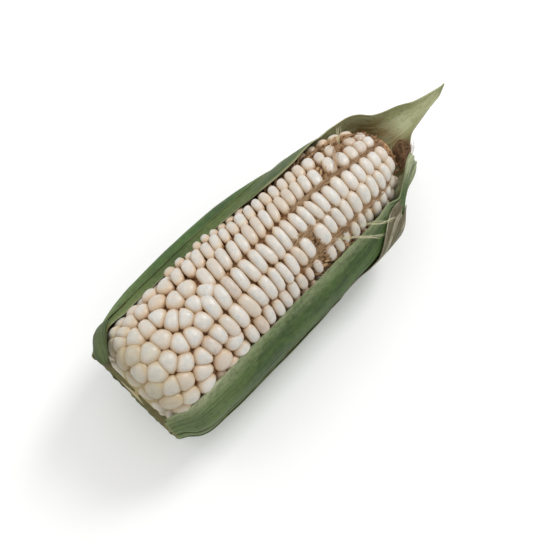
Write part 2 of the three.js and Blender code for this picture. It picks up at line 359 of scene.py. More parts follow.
def kernel_skin():
    """Waxy cream crowns, peach at the rim and brown down the sides, partly their own colour and
    partly painted shade in the crevices between kernels; some kernels warmer or tanned, the +Y
    side warmer as painted warm bounce light, and those at the butt greenish."""
    s = Shader("kernel_skin")
    depth = s.mark("depth")
    where = s.places()
    mottle = s.noise(where, 0.35, 4)
    fine = s.noise(where, 1.6, 3)
    streak = s.noise(where, 0.9, 5, 0.65)
    fleck = s.noise(where, 1.1, 4, 0.7)
    # edge and side colour each kernel by its depth under the crown: peach at the rim and brown
    # down the sides, partly its own colour and partly painted shade in the crevices between
    # kernels.
    edge = s.rise(depth + (fine - 0.5) * 0.12, 0.04, 0.27)
    side = s.rise(depth + (mottle - 0.5) * 0.16, 0.26, 0.55)
    colour = s.coats(
        tone(219, 213, 203),
        (tone(205, 204, 199), s.rise(mottle, 0.38, 0.66)),
        (tone(178, 172, 160), s.rise(streak, 0.5, 0.72) * 0.4),
        # warmer at random, and on the +Y side as painted warm bounce light
        (tone(203, 184, 160), s.rise(s.mark("warm_tone_and_bounce"), 0.25, 1.0) * 0.6),
        (tone(208, 182, 150), edge * 0.85),
        (tone(172, 132, 92), side),
        (tone(166, 154, 112), s.mark("green") * 0.6),
        (tone(172, 136, 102), s.mark("tan") * (s.rise(mottle, 0.25, 0.7) * 0.5 + 0.35)),
        (tone(140, 116, 88), s.rise(fleck, 0.66, 0.74) * 0.5),
    )
    return s.finish(
        Base_Color=colour,
        Roughness=s.rise(fine, 0.2, 0.8) * 0.16 + 0.26,
        Normal=s.bump(fine + streak * 0.8, 0.16, 0.5),
        Subsurface_Weight=0.18,
        Subsurface_Radius=(1.0, 0.62, 0.42),
        Subsurface_Scale=1.4 * MM,
        Specular_IOR_Level=0.55,
    )


def chaff():
    """Brown papery glumes and dry silk over the cob, and its pale cut end."""
    s = Shader("chaff")
    grain = s.noise(s.places(), 0.5, 5, 0.65)
    fibre = s.noise(s.places((0.25, 1.4, 1.4)), 1.0, 4)
    colour = s.coats(
        tone(124, 84, 52),
        (tone(196, 154, 108), s.rise(grain, 0.3, 0.68)),
        (tone(214, 184, 140), s.rise(fibre, 0.55, 0.8) * 0.6),
        (tone(182, 166, 124), s.mark("cut")),
    )
    return s.finish(Base_Color=colour, Roughness=0.88, Normal=s.bump(grain + fibre, 0.7, 0.8))


def chaff_paper():
    """Dry papery scales, from straw to reddish brown; darker where marked, at random and, at the
    ear's end, as painted shade.
    """
    s = Shader("chaff_paper")
    grain = s.noise(s.places(), 0.9, 4, 0.7)
    colour = s.coats(
        tone(206, 172, 128),
        # darker brown at random, and at the ear's end as painted shade under the hood
        (tone(134, 98, 64), s.mark("shade")),
        (tone(206, 190, 160), s.rise(grain, 0.55, 0.75) * 0.6),
    )
    gloss = s.rise(grain, 0.3, 0.7) * 0.2 + 0.6
    return s.finish(Base_Color=colour, Roughness=gloss, Normal=s.bump(grain, 0.15, 0.6))


# The colours of each skin of leaf: of its outer face, dark and light, of its inner face,
# dark and light, of its margin and of its stains.
FRESH_INSIDE = (112, 120, 80), (138, 144, 104)
BROWN_INSIDE = (86, 78, 44), (110, 98, 60), (92, 84, 50), (76, 62, 36)
HUSK_COLOURS = {
    "husk_green": (
        (48, 74, 30), (80, 106, 52), *FRESH_INSIDE, (140, 152, 110), (150, 156, 120)),
    "husk_outer_green": (
        (60, 84, 38), (92, 112, 62), *FRESH_INSIDE, (128, 138, 100), (150, 156, 120)),
    "husk_inner_green": (
        (38, 62, 20), (80, 104, 50), (130, 140, 98), (152, 160, 118), (136, 150, 106),
        (178, 182, 146)),
    # The olive leaf's inner face is its own paler colour, lightened further as painted light where
    # the hood's inside lies in shade.
    "husk_olive": (
        (54, 76, 34), (86, 106, 56), (164, 168, 122), (192, 196, 158), (166, 162, 126),
        (128, 108, 64)),
    "husk_dry": (
        (92, 90, 62), (124, 120, 92), (104, 98, 74), (140, 134, 112), (160, 152, 128),
        (120, 112, 90)),
    "husk_rim": ((86, 86, 46), (112, 106, 62), *BROWN_INSIDE),
    "husk_rolled": ((58, 72, 38), (88, 100, 60), *BROWN_INSIDE),
}


def husk_skin(name, dryness=0.0, edge_share=0.3):
    """A ribbed leaf: fine pale veins along it, streaks, blotches and a dry margin, stained
    where marked; paler at its base, with painted highlight on the folds there. Its inner face is
    smoother."""
    s = Shader(name)
    colours = (tone(*colour) for colour in HUSK_COLOURS[name])
    dark, light, inner_dark, inner_light, edge, stain = colours
    streak = s.leaf_noise(0.35, 0.012, 4, 0.6)
    fine = s.leaf_noise(1.7, 0.05, 3, 0.6)
    patch = s.leaf_noise(0.07, 0.03, 4)
    scuff = s.leaf_noise(0.2, 0.07, 5, 0.7)
    speck = s.leaf_noise(0.6, 0.4, 4, 0.7)
    mottle = s.leaf_noise(0.5, 0.3, 5, 0.65)
    vein = s.rise(s.mark("vein"), 0.2, 0.8)
    inside = s.blend(inner_dark, inner_light,
                     s.rise(streak * 0.1 + patch * 0.5 + mottle * 0.4, 0.42, 0.6))
    stained = s.mark("stain") * s.rise(scuff * 0.5 + patch * 0.3 + mottle * 0.2, 0.36, 0.58)
    margin = s.rise(s.mark("margin") + (fine - 0.5) * 0.5, 0.35, 0.95)
    torn = s.rise(s.mark("cut") + (fine - 0.5) * 0.4, 0.45, 1.0)
    colour = s.coats(
        dark,
        (light, s.rise(streak * 0.3 + patch * 0.4 + mottle * 0.3, 0.4, 0.6)),
        # paler at the base, the more on veins and furrow crests: partly the leaf's own pale base,
        # partly painted highlight on the raised folds
        (tone(136, 150, 98), s.mark("base") * (0.22 + vein * 0.22)),
        (tone(128, 144, 90), vein * (0.04 + fine * 0.14)),
        (tone(40, 60, 26), s.rise(fine * 0.5 + mottle * 0.5, 0.52, 0.66) * 0.45),
        (tone(146, 154, 106), s.rise(scuff, 0.6, 0.7) * 0.4),
        (inside, s.mark("inside")),
        (stain, stained),
        (tone(66, 56, 32), s.rise(speck, 0.57, 0.64) * 0.6),
        (edge, margin * edge_share),
        (tone(140, 134, 92), torn * 0.6),
    )
    if dryness:
        spots = s.leaf_noise(0.6, 0.1, 5, 0.7)
        pale = s.rise(streak * 0.6 + scuff * 0.4, 0.5, 0.62)
        colour = s.coats(
            colour,
            (tone(84, 72, 50), s.rise(spots, 0.42, 0.56) * dryness),
            (tone(176, 170, 148), pale * dryness),
        )
    return s.finish(
        Base_Color=colour,
        Roughness=s.rise(patch, 0.3, 0.7) * 0.14 + 0.5,
        Normal=s.bump(fine * 0.5 + streak * 0.3 + speck * 0.5 + mottle * 0.6, 0.28, 0.9),
        Specular_IOR_Level=0.3,
    )


def silk_skin(name, root, end):
    """Fine dry threads, darker in patches."""
    s = Shader(name)
    shade = s.noise(s.places(), 0.25, 3)
    grain = s.noise(s.places(), 2.5, 2)
    colour = s.coats(
        root,
        (end, s.rise(s.mark("along") + (shade - 0.5) * 0.8, 0.1, 0.9)),
        (tone(60, 40, 24), s.rise(grain, 0.55, 0.8) * 0.3),
    )
    return s.finish(Base_Color=colour, Roughness=0.55, Specular_IOR_Level=0.4)


# ---- kernels ----
ROWS_START, ROWS_END = 46.0, 160.0
PITCH, LONGEST_KERNEL = 5.05, 7.2
MOST_IN_ROW = 40
# The side of the butt that shows: the angle of its middle and half its width, then where
# its kernels stand, as x and angle. The others of the butt stand in rings.
BUTT_FACING, BUTT_SHOWN = 8, 56
BUTT_PLACES = (
    (4.4, -24), (4.6, 5), (4.6, 30), (6.6, 52), (5.5, -48), (9, -36), (8.2, -11), (10.2, 18),
    (10.4, 38), (12.5, -39), (14.5, 0), (15, -23), (14.5, 59), (17, 42), (17.5, 18), (19, -45),
    (21.5, -20), (22, -1), (22, 30), (23, 63), (25, 48), (25.5, -42), (26, 14), (27, -20),
    (29, 38), (31, -7), (31.5, 17), (32, -36), (34, -56), (35, 0), (35, 36), (35, 56),
    (38.5, -21), (39, 13), (40, 34), (40, -44), (42, 67), (42, -3), (43.5, 50), (44, -20),
    (49, -4),
)
FIRST_RING_ROOM, RING_SPACING, BUTT_SPACING = 4.4, 7.5, 8.6
PUSHES, PUSH_SHARE = 8, 0.18
CELL_POWER, CELL_OVERLAP = 3.9, 1.14
NEIGHBOURHOOD, LARGEST_CELL = 26.0, 6.2
# Levels of a kernel: over its crown, then how wide it still is below the rim and at its
# foot, and how deep those two lie under its crown's edge and its top.
CROWN_ANGLES = np.radians([24, 46, 66, 86])
SIDE_SHARES = [0.97, 0.62]
RIM_DEPTH, KERNEL_DEPTH = 2.0, 7.0
ROW_DOME, BUTT_DOME = 2.4, 3.1
OUTLINE_POINTS = 16
TURN_ANGLES = np.arange(OUTLINE_POINTS) * FULL_TURN / OUTLINE_POINTS
TURN = np.stack([np.cos(TURN_ANGLES), np.sin(TURN_ANGLES)], axis=-1)


def row_angle(place, x):
    """Centre angle of a row, whose place is a half-integer counted from the top. Rows are
    wider on top than underneath, and towards the tip those of the +Y side close up."""
    turn = ROW_TWIST * ramp(x, 108, 158) - 2.5
    wobble = 0.8 * np.sin(x / 17 + place * 2.1)
    step = FULL_TURN / ROWS
    widening = (np.sin((place + 1) * step) - np.sin(step)) / step
    angle = place * 360 / ROWS + WIDER_ABOVE * widening
    closing = ROWS_CLOSE_UP * ramp(x, 82, 116) * ramp(angle, -140, -50) * np.minimum(angle, 0)
    return turn + wobble + angle - closing


def sparse(x, angle):
    """How poorly kernels set at a place, 0 to 1: along the -Y edge of the opening towards
    the tip, and on the other side near the tip."""
    angle = (angle + 180) % 360 - 180
    poor = 0.25 * ramp(x, 56, 66) + 0.6 * ramp(x, 80, 92) - 0.4 * ramp(x, 110, 117)
    edge = poor * ramp(angle, 48, 54) * ramp(angle, 110, 90)
    tip = 0.5 * ramp(x, 124, 132) * ramp(angle, -19, -23) * ramp(angle, -70, -58)
    return edge + tip


def bare(x, place):
    """Where kernels are missing from their row: one gap beside the -Y edge of the opening,
    a stretch below it, two holes near the tip and all that the hood's margin covers."""
    gap = (place == 1.5) & (x > 98) & (x < 103.5)
    stretch = (place == 2.5) & ((x > 96) & (x < 103) | (x > 109) & (x < 113))
    holes = (place == -0.5) & (x > 126) & (x < 131) | (place == -1.5) & (x > 143) & (x < 148)
    under_hood = (place == -2.5) & (x > 92)
    return gap | stretch | holes | under_hood


def off_middle(angle):
    """How far round an angle is from the middle of the side of the butt that shows."""
    return np.abs((angle - BUTT_FACING + 180) % 360 - 180)


def seeds():
    """The middles of all kernels, as length along the ear's line and angle, with the place
    of each one's row, 0 in the butt. Rows keep one pitch, loosely; the butt's kernels out
    of sight stand in loose rings, pushed apart until they are evenly jumbled."""
    random = np.random.default_rng(14)
    lengths, angles, places = [], [], []

    def add(length, angle, place):
        lengths.append(length)
        angles.append(angle)
        places.append(np.full(len(length), place))

    # Each row starts at its own place. Its kernels are longest at its two ends.
    for place in np.arange(ROWS) - ROWS / 2 + 0.5:
        first = random.uniform(0, 4) * (place < 0)
        first = ROWS_START + {-0.5: 7.5, 2.5: 5.5}.get(place, first)
        order = np.arange(MOST_IN_ROW)
        pitch = PITCH * mix(1.2, 1, ramp(order, 0, 4)) * random.uniform(0.88, 1.12, MOST_IN_ROW)
        pitch = pitch * mix(1, 1.24, ramp(order, 12, 16))
        x = first + np.concatenate([[0], np.cumsum(pitch)])
        x = x[(x < ROWS_END - 2) & ~bare(x, place)]
        add(line_length(x), row_angle(place, x) + random.normal(0, 0.8, len(x)), place)
    # The butt's own, then its rings out of sight.
    seen_x, seen_angle = np.array(BUTT_PLACES, float).T
    add(line_length(seen_x), seen_angle, 0)
    butt_line = LINE_R[:BUTT_STEPS], LINE_LENGTH[:BUTT_STEPS]
    innermost = np.interp(SHANK_RADIUS + FIRST_RING_ROOM, *butt_line)
    rings = np.arange(innermost, line_length(ROWS_START) - 5.0, RING_SPACING)
    for ring, length in enumerate(rings):
        radius = np.interp(length, LINE_LENGTH, LINE_R)
        count = int(round(FULL_TURN * radius / BUTT_SPACING))
        angle = (np.arange(count) + 0.5 * (ring % 2)) * 360 / count
        angle = angle[off_middle(angle) > (BUTT_SHOWN if ring else -1)]
        length = length + random.normal(0, 1, len(angle))
        add(length, angle + random.normal(0, 1, len(angle)) / np.radians(radius), 0)
    length, angle, place = (np.concatenate(part) for part in (lengths, angles, places))
    # Kernels of the rings that stand too close push each other along and round the ear.
    free = (place == 0) & (off_middle(angle) > BUTT_SHOWN) & (length > rings[0] + 1)
    for _ in range(PUSHES):
        centre, onward, sideways, _ = on_ear(length, angle)
        gap = centre[:, None] - centre[None]
        size = np.linalg.norm(gap, axis=-1) + 1e-9
        push = np.clip(BUTT_SPACING - size, 0, None) / size
        np.fill_diagonal(push, 0)
        move = (gap * push[..., None]).sum(axis=1) * PUSH_SHARE
        radius = np.maximum(np.interp(length, LINE_LENGTH, LINE_R), 6)
        length = length + np.where(free, (move * onward).sum(-1), 0)
        length = np.where(free, np.clip(length, rings[0], None), length)
        angle = angle + np.where(free, np.degrees((move * sideways).sum(-1) / radius), 0)
    return length, angle, place


def cell_outlines(length, angle):
    """Each kernel's outline: in a direction u it lies at 1 over the power mean of u.h over
    its neighbours, where h points at a neighbour and is 2 over its distance. That is the
    cell of the places nearest to the kernel, with rounded corners."""
    place, onward, sideways, _ = on_ear(length, angle)
    gap = place[None] - place[:, None]
    distance = np.linalg.norm(gap, axis=-1)
    flat = np.stack([(gap * onward[:, None]).sum(-1), (gap * sideways[:, None]).sum(-1)], -1)
    size = np.linalg.norm(flat, axis=-1) + 1e-9
    near = (distance < NEIGHBOURHOOD) & (distance > 0.1)
    toward = flat / size[..., None] * (2 / np.maximum(distance, 0.1) * near)[..., None]
    reach = np.clip(np.einsum("mk,ijk->imj", TURN, toward), 0, None)
    radius = (reach**CELL_POWER).sum(-1) ** (-1 / CELL_POWER) * CELL_OVERLAP
    return TURN[None] * np.minimum(radius, LARGEST_CELL)[..., None]


def row_outlines(length, place, x):
    """Kernels in rows: ovals with blunt ends that fill their share of the row's width and
    meet the next ones, slanting round the ear, the most on the +Y side."""
    random = np.random.default_rng(8)
    half = np.empty((len(length), 2))
    for row in np.unique(place):
        mine = np.flatnonzero(place == row)
        steps = np.clip(np.diff(length[mine]), 0, LONGEST_KERNEL) / 2
        half[mine, 0] = np.concatenate([steps, steps[-1:]])
        half[mine, 1] = np.concatenate([steps[:1], steps])
    share = np.radians(row_angle(place + 0.5, x) - row_angle(place - 0.5, x)) / 2
    wide = share * ear_radius(x) * random.uniform(0.98, 1.04, len(x))
    blunt = random.uniform(2.3, 3.0, len(x))[:, None]
    along_row, across_row = np.abs(TURN.T)[:, None]
    side = np.where(TURN[None, :, 0] > 0, half[:, :1], half[:, 1:])
    power = (along_row / side) ** blunt + (across_row / wide[:, None]) ** blunt
    flat = TURN[None] * (power ** (-1 / blunt) * 1.02)[..., None]
    slant = np.interp(place, [-3, -1.5, -0.5, 0.5, 2, 4], [0.3, 0.3, 0.24, 0.07, 0.02, 0.1])
    slant = slant + random.normal(0, 0.05, len(x))
    flat[..., 0] -= slant[:, None] * flat[..., 1]
    return flat


def kernel_mesh(centre, onward, sideways, outward, flat, dome, sink, lean, curve):
    """Closed pillows. Over the crown, at an angle f from its middle, the outline shrinks by
    sin f to a power and the surface drops by 1 - cos f; below the rim the sides draw in
    to the foot. curve is the ear's own roundness, which bends a wide kernel."""
    share = np.concatenate([np.sin(CROWN_ANGLES) ** 0.9, SIDE_SHARES])
    crown = (1 - np.cos(CROWN_ANGLES) ** 1.1)[None] * dome[:, None]
    foot_drop = np.full((len(centre), 1), KERNEL_DEPTH)
    drop = np.concatenate([crown, dome[:, None] + RIM_DEPTH, foot_drop], axis=1)
    outline = flat[:, None] * share[None, :, None, None]
    across, around_ear = outline[..., 0], outline[..., 1]
    height = -drop[..., None] - sink[:, None, None]
    height = height + lean[:, 0, None, None] * across + lean[:, 1, None, None] * around_ear
    height = height - around_ear**2 * curve[:, None, None] / 2
    rings = moved(centre, (across, onward), (around_ear, sideways), (height, outward))
    top = centre - sink[:, None] * outward
    foot = top - KERNEL_DEPTH * outward
    count, points, levels = len(centre), OUTLINE_POINTS, len(share)
    every = np.concatenate([top[:, None], rings.reshape(count, -1, 3), foot[:, None]], axis=1)
    depth = np.concatenate([0 * foot_drop, np.repeat(drop, points, axis=1), foot_drop], axis=1)
    j = np.arange(points)
    k = (j + 1) % points
    body = grid_faces(levels, points, start=1, closed=True)
    cap = np.stack([0 * j, k + 1, j + 1], -1)
    last = 1 + (levels - 1) * points
    base = np.stack([last + j, last + k, 0 * j + 1 + levels * points], -1)
    shift = (np.arange(count) * every.shape[1])[:, None, None]
    faces = [(part[None] + shift).reshape(-1, part.shape[1]) for part in (body, cap, base)]
    return every.reshape(-1, 3), faces, depth.ravel() / KERNEL_DEPTH, every.shape[1]


def kernels():
    """All kernels, a piece for each row and one for the butt. Where they set poorly they
    are smaller, sunk and tanned. The two rows at the top part towards the tip, and the ear
    swells a little beside them on the +Y side."""
    random = np.random.default_rng(5)
    length, angle, place = seeds()
    count = len(length)
    in_row = place != 0
    x = np.interp(length, LINE_LENGTH, LINE_X)
    flat = cell_outlines(length, angle)
    flat[in_row] = row_outlines(length[in_row], place[in_row], x[in_row])
    poor = sparse(x, angle)
    # Each one's own size, outline, sink and lean, and how it bends with the ear.
    centre, onward, sideways, outward = on_ear(length, angle)
    size = random.uniform(0.98, 1.03, count) * (1 - poor * random.uniform(0.15, 0.4, count))
    wave = 1 + 0.03 * np.sin(2 * TURN_ANGLES[None] + random.uniform(0, 6.28, (count, 1)))
    sink = np.abs(random.normal(0, 0.28, count)) + poor * random.uniform(0.3, 2.0, count)
    lean = random.normal(0, 0.04, (count, 2))
    reach = np.hypot(centre[:, 1], centre[:, 2] - AXIS_HEIGHT)
    curve = np.hypot(outward[:, 1], outward[:, 2]) / np.maximum(reach, 8)
    parted = (np.abs(place) == 0.5) * (0.25 + 0.45 * ramp(x, 96, 110)) * ramp(x, 48, 56)
    swell = 1.3 * ramp(x, 15, 35) * ramp(x, 84, 70) * ramp(angle, -28, -50) * (angle > -75)
    moved_by = sideways * (parted * np.sign(place))[:, None] + outward * swell[:, None]
    shape = {
        "centre": centre + moved_by, "onward": onward, "sideways": sideways,
        "outward": outward, "flat": flat * (size[:, None] * wave)[..., None],
        "dome": np.where(in_row, ROW_DOME, BUTT_DOME) * size, "sink": sink, "lean": lean,
        "curve": np.clip(curve, 0, 0.06),
    }
    # Their colours: warmer at random, and warmer on the +Y side as painted warm bounce light;
    # tanned where they set poorly and greenish in the butt.
    warm_tone_and_bounce = random.beta(1.2, 2.4, count) + 0.3 * ramp(angle, 0, -14) * (angle < 0)
    tan = poor * random.uniform(0.1, 0.9, count) + (random.random(count) < 0.02) * 0.4
    # Beside the broad leaf's margin, towards the tip, they are pearly and greenish too.
    pearl = ((place == 1.5) | (place == 2.5)) * ramp(x, 100, 108)
    green = np.clip((46 - length) / 22, 0, 1) + mix(0.15, 0.4, place == 2.5) * pearl
    shade = {
        "warm_tone_and_bounce": np.clip(warm_tone_and_bounce, 0, 1),
        "tan": np.clip(tan, 0, 1) * (1 - 0.8 * pearl),
        "green": np.clip(green, 0, 1) * random.uniform(0.6, 1.0, count),
    }
    skin = kernel_skin()
    for number in range(ROWS + 1):
        mine = place == (number - ROWS / 2 - 0.5 if number else 0)
        made = kernel_mesh(**{key: values[mine] for key, values in shape.items()})
        points, faces, depth, each = made
        marks = {key: np.repeat(values[mine], each) for key, values in shade.items()}
        marks["depth"] = depth
        name = f"kernels_row_{number:02d}" if number else "kernels_butt"
        node = f"kernel_row_{number:02d}" if number else "butt_kernels"
        piece(name, points, faces, skin, [node], marks)


# Rings of points along the cob, the points of each, and the radius of the small flat face
# that closes each end.
COB_RINGS, COB_COLUMNS, COB_END = 150, 200, 0.3


def cob():
    """The cob under the kernels, rough with chaff: the ear's outline less the kernels'
    depth, with noise, and the flat cut end of the shank."""
    body = np.linspace(0.3, EAR_LENGTH - 1, COB_RINGS)
    stations = np.concatenate([[0, 0, 0], body, [EAR_LENGTH]])
    least = np.where(stations < 12, SHANK_RADIUS, 2.5)
    radius = np.maximum(ear_radius(stations) - COB_DEPTH, least)
    # The cut's middle, halfway out and its rim, and last the tip.
    radius[:3] = [COB_END, SHANK_RADIUS / 2, SHANK_RADIUS]
    radius[-1] = COB_END
    turn = np.linspace(0, 360, COB_COLUMNS, endpoint=False)
    u, v = np.meshgrid(stations, turn, indexing="ij")
    # The noise repeats once round, after 50 and 100 of its steps.
    lump = rough(u / 2.2, v / 7.2, 3, 50) * 0.5 + rough(u / 1.1, v / 3.6, 4, 100) * 0.25
    worn = ramp(u, 1.5, 8) * ramp(u, EAR_LENGTH, EAR_LENGTH - 3)
    points = around(u, radius[:, None] + lump * worn, v).reshape(-1, 3)
    cut = np.broadcast_to(ramp(stations, 9, 4)[:, None], u.shape).ravel()
    rows, columns = u.shape
    rim = np.arange(columns)[None]
    faces = [grid_faces(rows, columns, closed=True), rim, rim[:, ::-1] + (rows - 1) * columns]
    piece("cob_and_chaff", points, faces, chaff(), ["cob"], {"cut": cut})


# Patches of scales: from one x to another, from one angle to another, and how many.
SCALE_PATCHES = (
    (157, 166, -180, 0, 110), (158, 166, 0, 180, 70), (90, 116, 44, 74, 240),
    (94, 106, 20, 48, 70), (114, 150, 46, 74, 80), (104, 156, -66, -38, 210),
    (124, 132, -18, 0, 24), (142, 150, -34, -16, 30),
)
SCALE_STEPS = 5
SCALE_THICKNESS = 0.12


def chaff_scales():
    """The papery scales that hold the kernels, where they show: cupped flakes that stand up
    and lean towards the tip, at the ear's end and wherever kernels are missing."""
    random = np.random.default_rng(31)
    places = []
    for low_x, high_x, low, high, count in SCALE_PATCHES:
        spots = random.uniform(low_x, high_x, count), random.uniform(low, high, count)
        places.append(np.stack(spots, -1))
    x, angle = np.concatenate(places).T
    centre, onward, sideways, outward = on_ear(line_length(x), angle)
    count = len(x)
    tilt = np.radians(random.uniform(15, 65, count))[:, None]
    turn = random.normal(0, 0.45, count)[:, None]
    along_ear = onward * np.cos(turn) + sideways * np.sin(turn)
    across = np.cross(along_ear, outward)
    up = along_ear * np.cos(tilt) + outward * np.sin(tilt)
    facing = np.cross(across, up)
    foot = centre - outward * random.uniform(3.0, 4.8, count)[:, None]
    long, wide = random.uniform(1.5, 3.2, count), random.uniform(0.4, 0.95, count)
    steps = SCALE_STEPS
    s, t = np.meshgrid(np.linspace(0, 1, steps), np.linspace(-1, 1, steps), indexing="ij")
    body = np.sin(np.pi * (0.15 + 0.8 * s)) ** 0.7
    cup = random.uniform(0.3, 1.2, count)[:, None, None]
    lengthwise, sidewise = s[None] * long[:, None, None], t * body * wide[:, None, None]
    bow = cup * (0.5 * t**2 - 0.6 * s**2)
    front = moved(foot, (lengthwise, up), (sidewise, across), (bow, facing))
    shells = np.stack([front, front - SCALE_THICKNESS * facing[:, None, None]], axis=1)
    each = 2 * steps**2
    faces = sheet_faces(steps, steps)[None] + (np.arange(count) * each)[:, None, None]
    # Darker at random, and darker at the ear's end (x > 156) as painted shade under the hood.
    shade = np.clip(random.random(count) + 0.7 * (x > 156), 0, 1)
    piece("chaff_scales", shells.reshape(-1, 3), [faces.reshape(-1, 4)], chaff_paper(),
          [], {"shade": np.repeat(shade, each)})


# ---- husk ----
SHEET, LEAF_GAP, LEAST_RADIUS = 0.38, 0.05, 0.6
COLUMN_WIDTH, ROW_LENGTH = 0.62, 1.7
COLUMNS = 24, 220
VEIN_PITCH, VEIN_HEIGHT, VEIN_HEIGHT_INSIDE = 2.3, 0.1, 0.06
MARGIN_WIDTH, TUCK_WIDTH = 1.4, 5.0
# Radius of the loose husk on the +Y side and on the -Y side, and how far the -Y leaves
# stand off, as x and millimetres.
husk_left = along(
    (0, 25.5), (5, 30), (10, 32.4), (22, 35.5), (32, 36.6), (60, 37.6), (84, 36.8),
    (108, 33.6), (130, 29), (150, 27.4), (165, 26.2), (172, 23), (178, 18), (193, 13),
    (201, 9), (216, 4.6),
)
husk_right = along(
    (0, 26.5), (5, 29), (10, 31.5), (22, 34.2), (36, 34.8), (95, 34.8), (120, 33.4),
    (140, 30), (158, 26.4), (165, 25), (172, 21), (178, 12.5), (185, 7), (193, 5.4),
    (201, 4.4), (216, 3),
)
outward_flare = along((0, 2.6), (22, 3.6), (100, 3.9), (125, 5.6), (146, 8.4))


def husk_radius(x, angle):
    """Radius of the outside of the whole husk: its loose outline, or what it holds. Along
    the opening the upper margins are drawn in to the kernels."""
    side = (1 + np.sin(np.radians(angle))) / 2
    layers = mix(4, 2, ramp(angle, 205, 228)) - ramp(angle, 96, 82)
    held = layers * LEAF_PITCH + LEAF_ROOM + HUSK_CLEARANCE
    snug = np.where(x < 160, ear_radius(x) + held, 0)
    at_margin = np.maximum(ramp(angle, 284, 300), ramp(angle, 88, 66))
    drawn_in = at_margin * ramp(x, 5, 22) * ramp(x, 156, 134)
    loose = mix(mix(husk_left(x), husk_right(x), side), snug, drawn_in)
    return np.maximum(loose, snug)


def rolled_end(x, angle):
    """The cut end of the outer leaf flares a little on the +Y side of the base."""
    return 0.7 * ramp(x, 15, 0) * ramp(angle, 240, 275)


def stand_off(x, angle):
    """On the -Y side the leaves stand away from the ear, the more toward their tips."""
    return outward_flare(x) * ramp(angle, 190, 150)


def curve_back(x, angle):
    """The inner leaves curve back in to the kernels at their margins and tips."""
    return stand_off(x, angle) * ramp(angle, 64, 104) * ramp(x, 162, 140)


def nothing(x, angle):
    """No offset, or no stain."""
    return 0 * x * angle


def waves(x, lane, seed):
    """Long and short waves along a margin, from -1 to 1."""
    return rough(x / 9, lane, seed) * 0.7 + rough(x / 3.4, lane + 9, seed) * 0.3


def leaf(name, material, layer, end, right, left, flare, seed, tear,
         crumple=0.5, ripple=0.18, start=nothing, tuck=(0, 0), stain=nothing):
    """A leaf bent round the ear, from its -Y margin to its +Y margin: a closed sheet whose
    outer face lies on its layer of the husk. Its radius is the husk's, less a pitch for
    each layer over it, plus its flare, its veins, which are powers of a sine across the
    strands, and noise for creases and for furrows at the base, less the tuck, which fades
    from each margin as a power of e. Its margins wave and its end is torn."""
    course = np.linspace(0, end, 200)
    spread = np.radians(left(course) - right(course))
    widest = np.max(spread * husk_radius(course, 180))
    columns = int(np.clip(widest / COLUMN_WIDTH, *COLUMNS))
    rows = int(end / ROW_LENGTH)
    u, v = np.meshgrid(np.linspace(0, 1, rows), np.linspace(0, 1, columns), indexing="ij")
    strand = v * widest
    back = widest - strand
    # Its torn end, its waving margins, then what lifts its surface and what tucks it in.
    ragged = tear * (rough(v * 9, seed, seed) * 0.6 + rough(v * 26, 5.5, seed) * 0.4 - 0.6)
    begin = start(0 * v, mix(right(0), left(0), v)) + 0.7 * rough(strand / 4, 3.5, seed + 5)
    x = mix(begin, end + u**6 * ragged, u)
    wave = waves(x, 0.5, seed + 1)
    low = right(x) + 1.6 * crumple * wave
    high = left(x) + 1.6 * crumple * waves(x, 20.5, seed + 1)
    angle = mix(low, high, v)
    phase = strand / VEIN_PITCH + 0.35 * rough(strand / 6, x / 60, seed + 2)
    ridge = np.abs(np.sin(np.pi * phase)) ** 3
    margin = np.exp(-((np.minimum(strand, back) / MARGIN_WIDTH) ** 2))
    crease = rough(x / 16, strand / 7, seed + 3) * 0.6 + rough(x / 6, strand / 3.5, seed + 4) * 0.4
    at_base = ramp(x, 52, 10)
    furrow = rough(x / 24, strand / 0.9, seed + 6) * at_base
    lift = VEIN_HEIGHT * ridge + ripple * crease + (0.07 + ripple * 0.3) * furrow
    lift = lift + margin * crumple * 0.5 * (0.4 + wave)
    pull = tuck[0] * np.exp(-strand / TUCK_WIDTH)
    pull = pull + tuck[1] * np.exp(-back / TUCK_WIDTH) * ramp(x, 1, 9)
    radius = husk_radius(x, angle) - layer * LEAF_PITCH + flare(x, angle)
    radius = radius + lift - pull * ramp(x, 134, 112)
    faces_at = []
    for inset, face_lift in ((LEAF_GAP, 0.0), (LEAF_GAP + SHEET, -VEIN_HEIGHT_INSIDE * ridge)):
        points = around(x, np.maximum(radius - inset + face_lift, LEAST_RADIUS), angle)
        points[..., 2] = np.maximum(points[..., 2], layer * LEAF_PITCH + inset)
        faces_at.append(points.reshape(-1, 3))
    marks = {
        "vein": ridge * 0.5 + np.clip(furrow, 0, 1),
        "margin": margin * (0.35 + 0.65 * ramp(x, 94, 110)),
        "cut": ramp(x, 1.6, 0),
        "base": at_base,
        "stain": stain(x, angle),
    }
    sheet_piece(name, faces_at, (strand, x), material, [f"husk_{name}"], marks)


def sheet_piece(name, faces_at, uv, material, nodes, marks):
    """A closed sheet between an outer and an inner face, each rows x columns of points.
    uv holds two arrays of that shape and marks one per name."""
    rows, columns = marks["margin"].shape
    on_both = {key: np.tile(values.ravel(), 2) for key, values in marks.items()}
    on_both["inside"] = np.repeat([0.0, 1.0], rows * columns)
    uv = np.stack([np.tile(values.ravel(), 2) for values in uv], -1)
    faces = [sheet_faces(rows, columns)]
    piece(name, np.concatenate(faces_at), faces, material, nodes, on_both, uv, sharp=60)


COLLAR_RADIUS, COLLAR_THICKNESS = 22.4, 0.6


